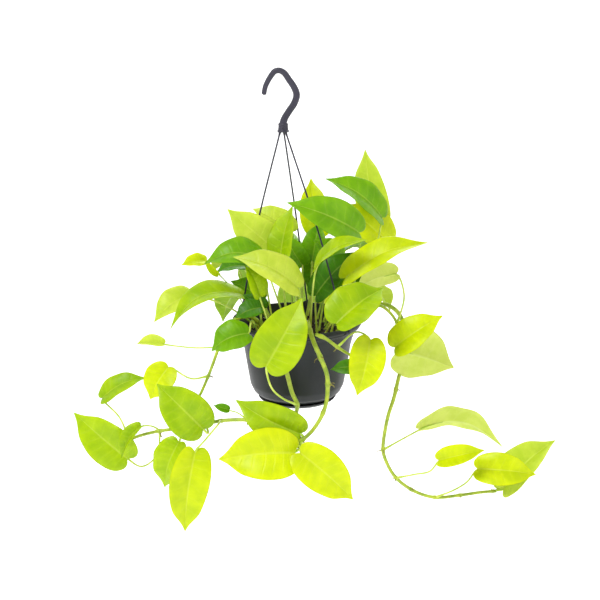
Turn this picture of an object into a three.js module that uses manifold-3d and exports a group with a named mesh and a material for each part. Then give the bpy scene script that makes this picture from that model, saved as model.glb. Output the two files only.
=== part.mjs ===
// A golden pothos growing in a moulded plastic hanging pot.
// Millimetres, +Z up, front of the plant towards -Y.
// The origin is the point where the hook hangs: the inside of the top of its bend.
import * as THREE from 'three';
import * as BufferGeometryUtils from 'three/addons/utils/BufferGeometryUtils.js';
import Module from 'manifold-3d';

const wasm = await Module();
wasm.setup();

// Pot
const POT_X = 20;
const RIM_Z = -288;
const RIM_RADIUS = 78;
const POT_HEIGHT = 96;
const BASE_RADIUS = 44;
const WALL = 2.4;
const SAUCER_RADIUS = 46;
const SAUCER_HEIGHT = 5;
const SOIL_Z = -301;
const SOIL_GAP = 0.4;
const POT_SIDES = 28;

// Hanger
const HOOK_ROD = 4.2;
const BOSS = { x: 4, z: -61, radius: 6.8, height: 11 };
const STRAND_RADIUS = 0.9;
const STRAND_ANGLES = [200, 320, 80];
const CLIP = { width: 7, depth: 2, height: 11, radius: 71.5 };

// Plant
const GAP = 0.4;
const WELD = 0.08;
const STALK_RADIUS = 1.1;
const STALK_DEPTH = 1.55;
const STALK_SIDES = 5;
const STALK_RINGS = 5;
const STEM_SIDES = 6;
const STEM_STEP = 14;
const BLADE_THICKNESS = 1.0;
const BLADE_ROWS = [0.07, 0.2, 0.38, 0.58, 0.8];
const LOBE = 0.17;

const COLOURS = {
  plastic: { color: 0x3d443f, roughness: 0.45 },
  hanger: { color: 0x57565c, roughness: 0.4 },
  soil: { color: 0x2a211b, roughness: 0.95 },
  stem: { color: 0xa9c13a, roughness: 0.5 },
  yellow: { color: 0xd9e60f, roughness: 0.4 },
  fresh: { color: 0xa8cf12, roughness: 0.4 },
  green: { color: 0x7fb80c, roughness: 0.4 },
  deep: { color: 0x4f9412, roughness: 0.4 },
  pale: { color: 0xd3e07a, roughness: 0.5 },
};

const plant = new THREE.Group();

function addPiece(name, geometry, look) {
  const piece = new THREE.Mesh(geometry, new THREE.MeshStandardMaterial({ ...COLOURS[look], metalness: 0 }));
  piece.name = name;
  plant.add(piece);
  return piece;
}

// ---- solids ----

function toManifold(geometry) {
  const bare = new THREE.BufferGeometry();
  bare.setAttribute('position', geometry.getAttribute('position'));
  bare.setIndex(geometry.getIndex());
  const merged = BufferGeometryUtils.mergeVertices(bare, 1e-4);
  return new wasm.Manifold(new wasm.Mesh({
    numProp: 3,
    vertProperties: new Float32Array(merged.getAttribute('position').array),
    triVerts: new Uint32Array(merged.getIndex().array),
  }));
}

// Corners closer than WELD become one, and the faces that this flattens are dropped.
function toGeometry(solid) {
  const mesh = solid.getMesh();
  const corners = [];
  const cornerOf = [];
  for (let i = 0; i < mesh.vertProperties.length; i += 3) {
    const point = new THREE.Vector3().fromArray(mesh.vertProperties, i);
    let near = corners.findIndex((other) => other.distanceTo(point) < WELD);
    if (near < 0) {
      near = corners.push(point) - 1;
    }
    cornerOf.push(near);
  }
  const faces = [];
  for (let i = 0; i < mesh.triVerts.length; i += 3) {
    const face = [0, 1, 2].map((k) => cornerOf[mesh.triVerts[i + k]]);
    if (new Set(face).size === 3) {
      faces.push(...face);
    }
  }
  const geometry = new THREE.BufferGeometry();
  geometry.setAttribute('position', new THREE.Float32BufferAttribute(corners.flatMap((p) => p.toArray()), 3));
  geometry.setIndex(faces);
  return geometry;
}

// A closed loft through rings of equal length, with a point at each end.
function loft(rings, first, last) {
  const count = rings[0].length;
  const points = [first, ...rings.flat(), last];
  const faces = [];
  const end = points.length - 1;
  for (let k = 0; k < count; k += 1) {
    const next = (k + 1) % count;
    faces.push(0, 1 + next, 1 + k);
    for (let r = 0; r < rings.length - 1; r += 1) {
      const a = 1 + r * count + k;
      const b = 1 + r * count + next;
      faces.push(a, b, b + count);
      faces.push(a, b + count, a + count);
    }
    const tail = 1 + (rings.length - 1) * count;
    faces.push(tail + k, tail + next, end);
  }
  const geometry = new THREE.BufferGeometry();
  const numbers = points.flatMap((p) => [p.x, p.y, p.z]);
  geometry.setAttribute('position', new THREE.Float32BufferAttribute(numbers, 3));
  geometry.setIndex(faces);
  return geometry;
}

// A rod of round section along a smooth curve; radiusAt takes the share of its length.
function rod(points, radiusAt, sides, steps) {
  const curve = new THREE.CatmullRomCurve3(points, false, 'centripetal');
  const rings = [];
  let side = null;
  for (let i = 0; i <= steps; i += 1) {
    const share = i / steps;
    const centre = curve.getPointAt(share);
    const along = curve.getTangentAt(share);
    if (side === null) {
      side = Math.abs(along.z) < 0.9 ? new THREE.Vector3(0, 0, 1) : new THREE.Vector3(1, 0, 0);
    }
    side = side.clone().addScaledVector(along, -side.dot(along)).normalize();
    const up = new THREE.Vector3().crossVectors(along, side);
    const ring = [];
    for (let k = 0; k < sides; k += 1) {
      const turn = (2 * Math.PI * k) / sides;
      const reach = radiusAt(share);
      ring.push(centre.clone()
        .addScaledVector(side, reach * Math.cos(turn))
        .addScaledVector(up, reach * Math.sin(turn)));
    }
    rings.push(ring);
  }
  const start = curve.getPointAt(0).addScaledVector(curve.getTangentAt(0), -0.4 * radiusAt(0));
  const end = curve.getPointAt(1).addScaledVector(curve.getTangentAt(1), 0.4 * radiusAt(1));
  return loft(rings, start, end);
}

const vector = (list) => new THREE.Vector3(...list);

// ---- pot, saucer, soil ----

function lathe(profile, z) {
  const points = profile.map(([r, h]) => new THREE.Vector2(r, h));
  const geometry = new THREE.LatheGeometry(points, POT_SIDES);
  geometry.rotateX(Math.PI / 2);
  geometry.translate(POT_X, 0, z);
  return geometry;
}

// Radius of the pot's outer wall at a height above the base.
const WALL_OUTLINE = [
  [BASE_RADIUS - 6, 0],
  [BASE_RADIUS + 2, 1.5],
  [BASE_RADIUS + 9, 7],
  [BASE_RADIUS + 13, 16],
  [BASE_RADIUS + 17, 40],
  [BASE_RADIUS + 21, 66],
  [BASE_RADIUS + 25, 80],
  [RIM_RADIUS - 2.5, 87],
  [RIM_RADIUS - 2, 90],
  [RIM_RADIUS, 91],
  [RIM_RADIUS, POT_HEIGHT],
];

function makePot() {
  const inside = WALL_OUTLINE.slice(1).map(([r, h]) => [r - WALL - 0.4, Math.max(h, WALL)]);
  inside[inside.length - 1][0] = RIM_RADIUS - 3.2;
  inside[inside.length - 2][0] = RIM_RADIUS - 5;
  inside[inside.length - 1][1] = POT_HEIGHT;
  const profile = [[0, 0], ...WALL_OUTLINE, ...inside.reverse(), [0, WALL]];
  return lathe(profile, RIM_Z - POT_HEIGHT);
}

function makeSoil() {
  const base = RIM_Z - POT_HEIGHT;
  const top = SOIL_Z - base;
  const wall = WALL_OUTLINE.slice(1, 8).filter(([, h]) => h < top - 1);
  const outline = wall.map(([r, h]) => [r - WALL - 0.4 - SOIL_GAP, Math.max(h, WALL + SOIL_GAP)]);
  const last = outline[outline.length - 1];
  const shoulder = [[last[0] + 0.5, top - 1], [last[0] - 2, top]];
  return lathe([[0, WALL + SOIL_GAP], ...outline, ...shoulder, [0, top]], base);
}

function makeSaucer() {
  const gap = 0.3;
  return lathe([
    [0, -SAUCER_HEIGHT],
    [SAUCER_RADIUS - 4, -SAUCER_HEIGHT],
    [SAUCER_RADIUS, -SAUCER_HEIGHT + 3],
    [SAUCER_RADIUS + 1, -gap - 0.2],
    [SAUCER_RADIUS - 1, -gap - 0.2],
    [SAUCER_RADIUS - 5, -SAUCER_HEIGHT + 2.4],
    [BASE_RADIUS - 8, -gap],
    [0, -gap],
  ], RIM_Z - POT_HEIGHT);
}

addPiece('pot', makePot(), 'plastic');
addPiece('drip_saucer', makeSaucer(), 'plastic');
addPiece('soil', makeSoil(), 'soil');

// ---- hanger ----

// The hook's centre line in the XZ plane, from the free tip over the bend to the boss.
const HOOK_LINE = [
  [-18, -23],
  [-16, -14],
  [-10, -3],
  [-5, 2.6],
  [0, 3.4],
  [5, 1],
  [11, -7],
  [17, -16],
  [19.5, -24],
  [17, -33],
  [11, -42],
  [6, -50],
  [BOSS.x, -56],
  [BOSS.x, BOSS.z],
].map(([x, z]) => new THREE.Vector3(x, 0, z));

function makeHook() {
  const bend = rod(HOOK_LINE, (share) => HOOK_ROD * (0.72 + 0.28 * Math.min(1, share * 1.6)), 8, 26);
  const collar = new THREE.CylinderGeometry(BOSS.radius, BOSS.radius - 1.5, BOSS.height, 12);
  collar.rotateX(Math.PI / 2);
  collar.translate(BOSS.x, 0, BOSS.z);
  return toGeometry(toManifold(bend).add(toManifold(collar)));
}

function rimPoint(degrees, radius, z) {
  const turn = THREE.MathUtils.degToRad(degrees);
  return new THREE.Vector3(POT_X + radius * Math.cos(turn), radius * Math.sin(turn), z);
}

function makeStrand(degrees) {
  const turn = THREE.MathUtils.degToRad(degrees);
  const top = BOSS.z - BOSS.height / 2 - GAP - 0.3;
  const start = new THREE.Vector3(BOSS.x + 4 * Math.cos(turn), 4 * Math.sin(turn), top);
  const end = rimPoint(degrees, CLIP.radius, RIM_Z + 2);
  const outward = new THREE.Vector3(Math.cos(turn), Math.sin(turn), 0);
  const middle = start.clone().lerp(end, 0.5).addScaledVector(outward, 4);
  const line = rod([start, middle, end], () => STRAND_RADIUS, 6, 8);
  const clip = new THREE.BoxGeometry(CLIP.depth, CLIP.width, CLIP.height);
  clip.rotateZ(turn);
  const place = rimPoint(degrees, CLIP.radius, RIM_Z - 1.5);
  clip.translate(place.x, place.y, place.z);
  return toGeometry(toManifold(line).add(toManifold(clip)));
}

addPiece('hanger_hook', makeHook(), 'hanger');
STRAND_ANGLES.forEach((degrees, i) => addPiece(`hanger_strand_${i + 1}`, makeStrand(degrees), 'hanger'));

// ---- stems ----

// Each stem: its radius and the points it grows through, from the soil to its free end.
const STEMS = {
  vine_front: [2.4, [
    [30, -30, -297], [32, -52, -280], [34, -78, -281], [39, -90, -293], [46, -92, -309],
    [54, -90, -331], [55, -88, -350], [53, -89, -367], [47, -91, -383], [37, -93, -398],
    [26, -95, -408], [16, -94, -415],
  ]],
  vine_left_long: [2.2, [
    [-6, -30, -297], [-2, -56, -280], [-1, -82, -284], [3, -88, -312], [9, -88, -332],
    [14, -86, -353], [20, -84, -369], [17, -78, -384], [3, -73, -391], [-15, -70, -393],
    [-38, -66, -394], [-65, -60, -397], [-88, -55, -403], [-113, -50, -410], [-144, -42, -417],
    [-168, -36, -425], [-183, -32, -432],
  ]],
  vine_left_short: [1.8, [
    [-16, -16, -297], [-32, -24, -282], [-50, -34, -280], [-62, -41, -288], [-70, -47, -307],
    [-74, -50, -318], [-79, -52, -332], [-86, -52, -350], [-93, -51, -366], [-99, -50, -377],
    [-102, -48, -394],
  ]],
  side_shoot: [1.7, [
    [41, -81, -286], [52, -80, -291], [66, -78, -302], [80, -74, -312], [93, -70, -319],
  ]],
  vine_right: [2.2, [
    [56, 6, -297], [74, 10, -281], [96, 11, -279], [112, 9, -275], [126, 5, -273],
    [136, 2, -277], [144, 4, -286], [150, 7, -302], [151, 8, -325], [147, 4, -351],
    [142, -4, -370], [138, -8, -387], [132, -9, -407], [128, -8, -429], [126, -8, -455],
    [130, -8, -470], [143, -6, -493], [167, -4, -512], [193, -2, -521], [224, 0, -519],
    [250, 2, -516], [270, 4, -515],
  ]],
  crown_shoot: [1.8, [
    [66, -14, -297], [84, -18, -281], [102, -24, -270], [117, -28, -266], [130, -30, -275],
    [138, -29, -288], [141, -28, -298],
  ]],
};

function stemSolid(name, extra) {
  const [radius, line] = STEMS[name];
  const points = line.map(vector);
  const curve = new THREE.CatmullRomCurve3(points, false, 'centripetal');
  const steps = Math.max(6, Math.round(curve.getLength() / STEM_STEP));
  const taper = (share) => radius * (1 - 0.3 * share) + extra;
  return toManifold(rod(points, taper, STEM_SIDES, steps));
}

for (const name of Object.keys(STEMS)) {
  addPiece(name, toGeometry(stemSolid(name, 0)), 'stem');
}

// ---- leaves ----

// Half outline of a blade, t from the notch at the stalk (0) to the tip (1).
const outlineSide = (t) => Math.sin(Math.PI * t ** 0.88) ** 0.74;
const outlineAlong = (t) => t ** 1.2 - LOBE * Math.sin(Math.PI * Math.sqrt(t)) * (1 - t);
const veinRoot = (t) => t ** 1.9;

// Places a point of the flat blade (along, side: shares of length and half width) in space.
function bladeFrame({ base, tip, face, width, bend, fold }) {
  const start = vector(base);
  const reach = vector(tip).sub(start);
  const length = reach.length();
  const along = reach.clone().normalize();
  const side = new THREE.Vector3().crossVectors(along, vector(face)).normalize();
  const normal = new THREE.Vector3().crossVectors(side, along);
  const lift = THREE.MathUtils.degToRad(fold);
  return (x, q, depth) => {
    const arch = 4 * bend * x * (1 - x) * length;
    const half = (width / 2) * q;
    return start.clone()
      .addScaledVector(along, x * length)
      .addScaledVector(side, half * Math.cos(lift))
      .addScaledVector(normal, arch + Math.abs(half) * Math.sin(lift) - depth);
  };
}

function bladeSolid(spec) {
  const place = bladeFrame(spec);
  const rings = BLADE_ROWS.map((t) => {
    const across = (q, depth) => {
      const x = THREE.MathUtils.lerp(veinRoot(t), outlineAlong(t), Math.abs(q));
      return place(x, q * outlineSide(t), depth);
    };
    return [
      across(-1, BLADE_THICKNESS / 2),
      across(-0.5, 0),
      across(0, 0),
      across(0.5, 0),
      across(1, BLADE_THICKNESS / 2),
      across(0.5, BLADE_THICKNESS),
      across(0, BLADE_THICKNESS),
      across(-0.5, BLADE_THICKNESS),
    ];
  });
  const notch = place(0, 0, BLADE_THICKNESS / 2);
  const tip = place(1, 0, BLADE_THICKNESS / 2);
  return toManifold(loft(rings, notch, tip));
}

function stalkSolid(spec) {
  const place = bladeFrame(spec);
  const points = [...spec.stalk.map(vector), place(0, 0, STALK_DEPTH), place(0.1, 0, STALK_DEPTH)];
  return toManifold(rod(points, () => STALK_RADIUS, STALK_SIDES, STALK_RINGS + 2 * spec.stalk.length - 4));
}

function leafSolid(spec) {
  let solid = stalkSolid(spec).add(bladeSolid(spec));
  if (STEMS[spec.on]) {
    solid = solid.subtract(stemSolid(spec.on, GAP));
  }
  return solid;
}

// name, grows on, stalk points, blade base, blade tip, facing, width, bend, fold in degrees, look
const LEAVES = [
  ['leaf_top_pale', 'soil', [[60, 34, -300], [95, 60, -240]],
    [121, 68, -184], [103, 78, -94], [-2, -9, 3], 46, 0.04, 12, 'pale'],
  ['leaf_top_green', 'soil', [[66, 14, -300], [106, 26, -235]],
    [122, 28, -170], [54, 20, -121], [-1, -5, 8], 50, 0.12, 10, 'green'],
  ['leaf_top_small', 'soil', [[30, 40, -300], [40, 56, -250]],
    [46, 58, -196], [37, 68, -128], [0, -8, 4], 42, 0.05, 12, 'yellow'],
  ['leaf_crown_big', 'soil', [[52, -4, -300], [88, -14, -240]],
    [92, -21, -180], [9, -40, -141], [2, -8, 5], 52, 0.1, 8, 'green'],
  ['leaf_crown_behind', 'soil', [[70, 28, -300], [118, 50, -250]],
    [131, 50, -205], [72, 46, -156], [2, -8, 5], 54, 0.08, 10, 'yellow'],
  ['leaf_crown_light', 'soil', [[36, -36, -300], [37, -41, -260]],
    [41, -51, -215], [97, -79, -176], [-3, -4, 9], 37, 0.12, 6, 'fresh'],
  ['leaf_crown_shade', 'soil', [[44, -16, -300], [42, -16, -280]],
    [42, -18, -256], [95, -10, -202], [-3, -8, 5], 40, 0.08, 10, 'deep'],
  ['leaf_right_bright', 'soil', [[60, -20, -300], [69, -30, -262]],
    [76, -46, -228], [168, -45, -182], [-3, -5, 8], 48, 0.1, 8, 'yellow'],
  ['leaf_right_under', 'crown_shoot', [[138, -29, -288], [146, -24, -255]],
    [136, -24, -228], [86, -36, -246], [0, 9, 4], 38, 0.1, 6, 'pale'],
  ['leaf_front_cupped', 'soil', [[50, -38, -299], [62, -62, -276], [71, -90, -272]],
    [64, -100, -268], [118, -64, -234], [-1, -6, 7], 62, 0.08, 14, 'fresh'],
  ['leaf_crown_left', 'soil', [[8, -12, -300], [4, -14, -250]],
    [-2, -14, -204], [-61, -18, -153], [-3, -8, 4], 50, 0.06, 10, 'pale'],
  ['leaf_crown_left_back', 'soil', [[14, 18, -300], [14, 26, -240]],
    [14, 28, -188], [-34, 34, -160], [-2, -6, 7], 38, 0.08, 8, 'pale'],
  ['leaf_crown_upright', 'soil', [[14, -28, -300], [6, -42, -255]],
    [0, -44, -212], [14, -30, -146], [-5, -8, 2], 38, 0.05, 14, 'fresh'],
  ['leaf_left_humped', 'soil', [[-6, -24, -300], [-14, -36, -250]],
    [-20, -48, -206], [-86, -58, -207], [-1, -6, 8], 46, 0.2, 8, 'green'],
  ['leaf_front_pale', 'soil', [[26, -56, -300], [26, -70, -262]],
    [21, -78, -232], [-50, -80, -194], [2, -6, 8], 50, 0.12, 6, 'pale'],
  ['leaf_front_small', 'soil', [[-6, -46, -300], [-16, -60, -268]],
    [-22, -66, -245], [-38, -62, -210], [6, -8, 2], 28, 0.1, 12, 'fresh'],
  ['leaf_left_shade', 'soil', [[-20, -2, -300], [-30, -4, -260]],
    [-38, -4, -224], [-78, -8, -230], [-1, -3, 9], 34, 0.1, 8, 'deep'],
  ['leaf_left_arching', 'soil', [[-24, -8, -300], [-36, -12, -272]],
    [-46, -22, -254], [-130, -45, -288], [-3, -4, 8], 46, 0.24, 8, 'fresh'],
  ['leaf_left_far', 'soil', [[-26, 10, -300], [-68, 14, -276]],
    [-108, 10, -262], [-152, -12, -289], [-5, -7, 4], 42, 0.12, 10, 'pale'],
  ['leaf_left_tiny', 'soil', [[-32, 2, -300], [-56, 17, -223]],
    [-86, -22, -213], [-114, -36, -215], [-1, -6, 6], 22, 0.08, 10, 'yellow'],
  ['leaf_front_shade', 'soil', [[-22, -34, -300], [-22, -44, -278]],
    [-22, -52, -262], [-52, -58, -272], [-1, -6, 8], 30, 0.1, 8, 'deep'],
  ['leaf_rim_left', 'soil', [[-22, -44, -300], [-32, -56, -276]],
    [-36, -70, -288], [-79, -72, -308], [-3, -7, 6], 44, 0.14, 8, 'green'],
  ['leaf_front_big', 'vine_left_long', [[20, -84, -369], [4, -100, -356], [-9, -112, -338]],
    [-14, -112, -314], [26, -98, -239], [0, -9, 2], 62, 0.04, 8, 'fresh'],
  ['leaf_left_curled', 'vine_left_short', [[-71, -48, -311], [-102, -30, -317]],
    [-142, -2, -320], [-177, 8, -323], [-1, -6, 7], 20, 0.1, 24, 'pale'],
  ['leaf_left_round', 'vine_left_short', [[-84, -52, -345], [-106, -40, -352]],
    [-134, -24, -343], [-157, -30, -382], [-2, -9, 2], 42, 0.08, 8, 'yellow'],
  ['leaf_far_left_back', 'vine_left_long', [[-183, -32, -432], [-198, -8, -412]],
    [-221, 8, -393], [-166, 12, -366], [0, -6, 8], 34, 0.1, 8, 'fresh'],
  ['leaf_far_left_tip', 'vine_left_long', [[-144, -42, -417], [-150, -34, -452], [-170, -30, -468]],
    [-186, -34, -456], [-247, -40, -395], [-1, -9, 3], 56, 0.06, 8, 'fresh'],
  ['leaf_far_left_curl', 'vine_left_long', [[-144, -42, -417], [-152, -50, -408]],
    [-166, -50, -408], [-190, -56, -447], [-6, -6, 1], 26, 0.12, 30, 'fresh'],
  ['leaf_low_left_broad', 'vine_left_long', [[-88, -55, -403], [-84, -66, -412]],
    [-90, -70, -404], [-143, -66, -350], [-1, -9, 4], 58, 0.08, 8, 'fresh'],
  ['leaf_low_left_behind', 'vine_left_long', [[-113, -50, -410], [-116, -60, -414]],
    [-120, -62, -424], [-140, -58, -484], [-4, -8, 1], 46, 0.08, 8, 'fresh'],
  ['leaf_low_left_long', 'vine_left_long', [[-70, -59, -398], [-72, -86, -394], [-88, -92, -412]],
    [-98, -88, -426], [-112, -90, -527], [1, -9, 0], 52, 0.05, 10, 'yellow'],
  ['leaf_low_left_small', 'vine_left_long', [[-38, -66, -394], [-50, -64, -386]],
    [-60, -60, -384], [-78, -60, -378], [0, -7, 6], 12, 0.08, 8, 'green'],
  ['leaf_low_mid_top', 'vine_front', [[26, -95, -408], [27, -91, -405]],
    [23, -90, -402], [-50, -92, -361], [1, -9, 2], 50, 0.08, 8, 'fresh'],
  ['leaf_low_mid_front', 'vine_front', [[26, -95, -408], [22, -104, -416]],
    [17, -108, -418], [-70, -112, -425], [0, -9, 3], 66, 0.06, 10, 'yellow'],
  ['leaf_low_mid_right', 'vine_front', [[20, -95, -413], [24, -114, -410]],
    [24, -120, -414], [85, -122, -471], [1, -9, 2], 54, 0.06, 8, 'yellow'],
  ['leaf_right_heart', 'side_shoot', [[66, -78, -302], [88, -70, -286]],
    [103, -84, -292], [88, -96, -355], [0, -9, 2], 46, 0.08, 10, 'yellow'],
  ['leaf_right_low', 'side_shoot', [[93, -70, -319], [97, -74, -322]],
    [92, -80, -325], [58, -80, -328], [-1, -8, 4], 20, 0.06, 8, 'deep'],
  ['leaf_right_edge', 'crown_shoot', [[141, -28, -296], [136, -42, -302]],
    [134, -48, -311], [188, -50, -271], [-2, -7, 6], 46, 0.1, 8, 'yellow'],
  ['leaf_right_reverse', 'crown_shoot', [[141, -28, -298], [145, -16, -308]],
    [142, -20, -324], [209, -12, -346], [1, 9, 1], 78, 0.06, 8, 'pale'],
  ['leaf_low_right_long', 'vine_right', [[126, -8, -455], [142, -4, -447], [160, 4, -440]],
    [173, 6, -432], [276, -2, -450], [0, 6, 5], 56, 0.2, 8, 'pale'],
  ['leaf_low_right_tongue', 'vine_right', [[143, -6, -493], [166, -20, -482], [182, -30, -474]],
    [192, -34, -458], [246, -42, -441], [0, -8, 6], 32, 0.08, 24, 'yellow'],
  ['leaf_low_right_mid', 'vine_right', [[193, -2, -521], [214, -10, -508], [230, -16, -494]],
    [242, -18, -476], [314, -24, -480], [0, -8, 6], 46, 0.1, 8, 'yellow'],
  ['leaf_low_right_end', 'vine_right', [[266, 4, -515], [272, 4, -514]],
    [279, 3, -512], [343, 12, -449], [-6, -7, 4], 58, 0.08, 26, 'pale'],
  ['leaf_back_left', 'soil', [[6, 34, -300], [-12, 70, -262]],
    [-18, 92, -250], [-50, 142, -290], [-2, 6, 8], 58, 0.14, 8, 'green'],
  ['leaf_back_right', 'soil', [[44, 42, -300], [59, 72, -256]],
    [67, 91, -245], [101, 141, -283], [2, 6, 8], 58, 0.14, 8, 'fresh'],
  ['leaf_back_middle', 'soil', [[26, 48, -300], [22, 80, -270]],
    [20, 100, -272], [10, 122, -345], [0, 9, 3], 54, 0.1, 8, 'green'],
];

const KEYS = ['name', 'on', 'stalk', 'base', 'tip', 'face', 'width', 'bend', 'fold', 'look'];
for (const row of LEAVES) {
  const spec = Object.fromEntries(KEYS.map((key, i) => [key, row[i]]));
  addPiece(spec.name, toGeometry(leafSolid(spec)), spec.look);
}

export default plant;
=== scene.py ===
"""A golden pothos in a moulded hanging pot: every leaf, stem, root, grain of soil and
plastic moulding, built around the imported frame. Lists are in millimetres, in the frame's
own axes: +Z up, the plant's front towards -Y, the origin where the hook hangs."""
import math
import random

import bpy
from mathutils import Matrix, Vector, noise


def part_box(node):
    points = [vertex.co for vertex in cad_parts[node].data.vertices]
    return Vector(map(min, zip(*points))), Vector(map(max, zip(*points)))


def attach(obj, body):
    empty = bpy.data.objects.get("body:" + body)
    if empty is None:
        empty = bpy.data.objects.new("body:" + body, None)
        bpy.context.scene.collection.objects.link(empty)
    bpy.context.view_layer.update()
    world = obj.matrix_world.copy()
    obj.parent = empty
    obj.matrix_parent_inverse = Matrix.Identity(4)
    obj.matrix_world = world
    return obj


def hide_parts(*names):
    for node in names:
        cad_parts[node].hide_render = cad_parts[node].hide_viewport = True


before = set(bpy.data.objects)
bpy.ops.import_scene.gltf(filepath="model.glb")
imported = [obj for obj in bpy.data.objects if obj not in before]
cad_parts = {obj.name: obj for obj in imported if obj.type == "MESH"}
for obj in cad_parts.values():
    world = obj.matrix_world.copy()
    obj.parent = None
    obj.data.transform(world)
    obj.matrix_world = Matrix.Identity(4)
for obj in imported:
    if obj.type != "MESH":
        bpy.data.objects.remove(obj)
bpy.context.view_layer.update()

MM = 0.001

# Pot and hanger, as the frame's nodes give them
POT_LOW, POT_HIGH = (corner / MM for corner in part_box("pot"))
POT_X = (POT_HIGH.x + POT_LOW.x) / 2
RIM_Z = POT_HIGH.z
BASE_Z = POT_LOW.z
SOIL_LOW, SOIL_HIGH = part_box("soil")
SOIL_Z = SOIL_HIGH.z / MM
SOIL_RADIUS = (SOIL_HIGH.x - SOIL_LOW.x) / 2 / MM - 1.2
SAUCER_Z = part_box("drip_saucer")[0].z / MM
BOSS = Vector((4, 0, -61))
STRAND_ANGLES = (200, 320, 80)
CLIP_RADIUS = 71.5
LUG_RADIUS = 76.2
TURNED_SIDES = 120

# Blades. EXTRA_FOLD is in degrees, beyond the fold that the layout gives.
LOBE = 0.17
BLADE_ROWS = 30
BLADE_COLUMNS = 12
BLADE_THICKNESS = 0.55
CAD_THICKNESS = 1.0
EXTRA_FOLD = 6
VEINS = 9
VEIN_GROOVE = 0.22
MIDRIB_GROOVE = 0.45
MIDRIB_KEEL = 0.9
VEIN_TINT = 0.1
MIDRIB_TINT = 0.5
BLADE_BUMP = 0.35

# Stalks: extra radius and reach of the sheath at the foot and of the knee below the blade, and
# the share of the blade's length and the depth at which the end of the stalk runs under it
STALK_RADIUS = 1.2
STALK_SIDES = 10
SHEATH_RADIUS, SHEATH_REACH = 0.75, 9
KNEE_RADIUS, KNEE_REACH = 0.28, 5
STALK_UNDER_BLADE = ((0.0, 1.55), (0.1, 1.35), (0.26, 1.05))
# Blades narrower than the first number have stalks of this share of the full thickness
SLIM_STALKS = ((15, 0.62), (30, 0.85), (math.inf, 1.0))

# Stems are thicker than the layout's plain rods. Nodes without a leaf stand at these shares of
# the length, unless a leaf's node is nearer than the gap.
STEM_GROWTH = 1.22
STEM_SIDES = 12
STEM_STEP = 1.5
SPARE_NODES = (0.12, 0.28, 0.44, 0.6, 0.76, 0.9)
NODE_GAP = 18
ROOTS_FROM = 15

# Soil
SOIL_SIDES = 96
SOIL_RINGS = 26
CRUMBS = 420

# Seeds of the random draws, and the range of the leaves' tones from light to dark
SOIL_SEED = 31
STEM_SEED = 70
LEAF_SEED = 100
EXTRA_SEED = 300
TONE_SEED = 500
LEAF_TONES = (-0.15, 0.85)


# ---------------- the plant's layout

# Each stem: its radius and the points it grows through, from the soil to its free end.
STEMS = {
    "vine_front": (2.4, [
        [30, -30, -297], [32, -52, -280], [34, -78, -281], [39, -90, -293], [46, -92, -309],
        [54, -90, -331], [55, -88, -350], [53, -89, -367], [47, -91, -383], [37, -93, -398],
        [26, -95, -408], [16, -94, -415],
    ]),
    "vine_left_long": (2.2, [
        [-6, -30, -297], [-2, -56, -280], [-1, -82, -284], [3, -88, -312], [9, -88, -332],
        [14, -86, -353], [20, -84, -369], [17, -78, -384], [3, -73, -391], [-15, -70, -393],
        [-38, -66, -394], [-65, -60, -397], [-88, -55, -403], [-113, -50, -410],
        [-144, -42, -417], [-168, -36, -425], [-183, -32, -432],
    ]),
    "vine_left_short": (1.8, [
        [-16, -16, -297], [-32, -24, -282], [-50, -34, -280], [-62, -41, -288], [-70, -47, -307],
        [-74, -50, -318], [-79, -52, -332], [-86, -52, -350], [-93, -51, -366], [-99, -50, -377],
        [-102, -48, -394],
    ]),
    "side_shoot": (1.7, [
        [41, -81, -286], [52, -80, -291], [66, -78, -302], [80, -74, -312], [93, -70, -319],
    ]),
    "vine_right": (2.2, [
        [56, 6, -297], [74, 10, -281], [96, 11, -279], [112, 9, -275], [126, 5, -273],
        [136, 2, -277], [144, 4, -286], [150, 7, -302], [151, 8, -325], [147, 4, -351],
        [142, -4, -370], [138, -8, -387], [132, -9, -407], [128, -8, -429], [126, -8, -455],
        [130, -8, -470], [143, -6, -493], [167, -4, -512], [193, -2, -521], [224, 0, -519],
        [250, 2, -516], [270, 4, -515],
    ]),
    "crown_shoot": (1.8, [
        [66, -14, -297], [84, -18, -281], [102, -24, -270], [117, -28, -266], [130, -30, -275],
        [138, -29, -288], [141, -28, -298],
    ]),
}

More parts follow.
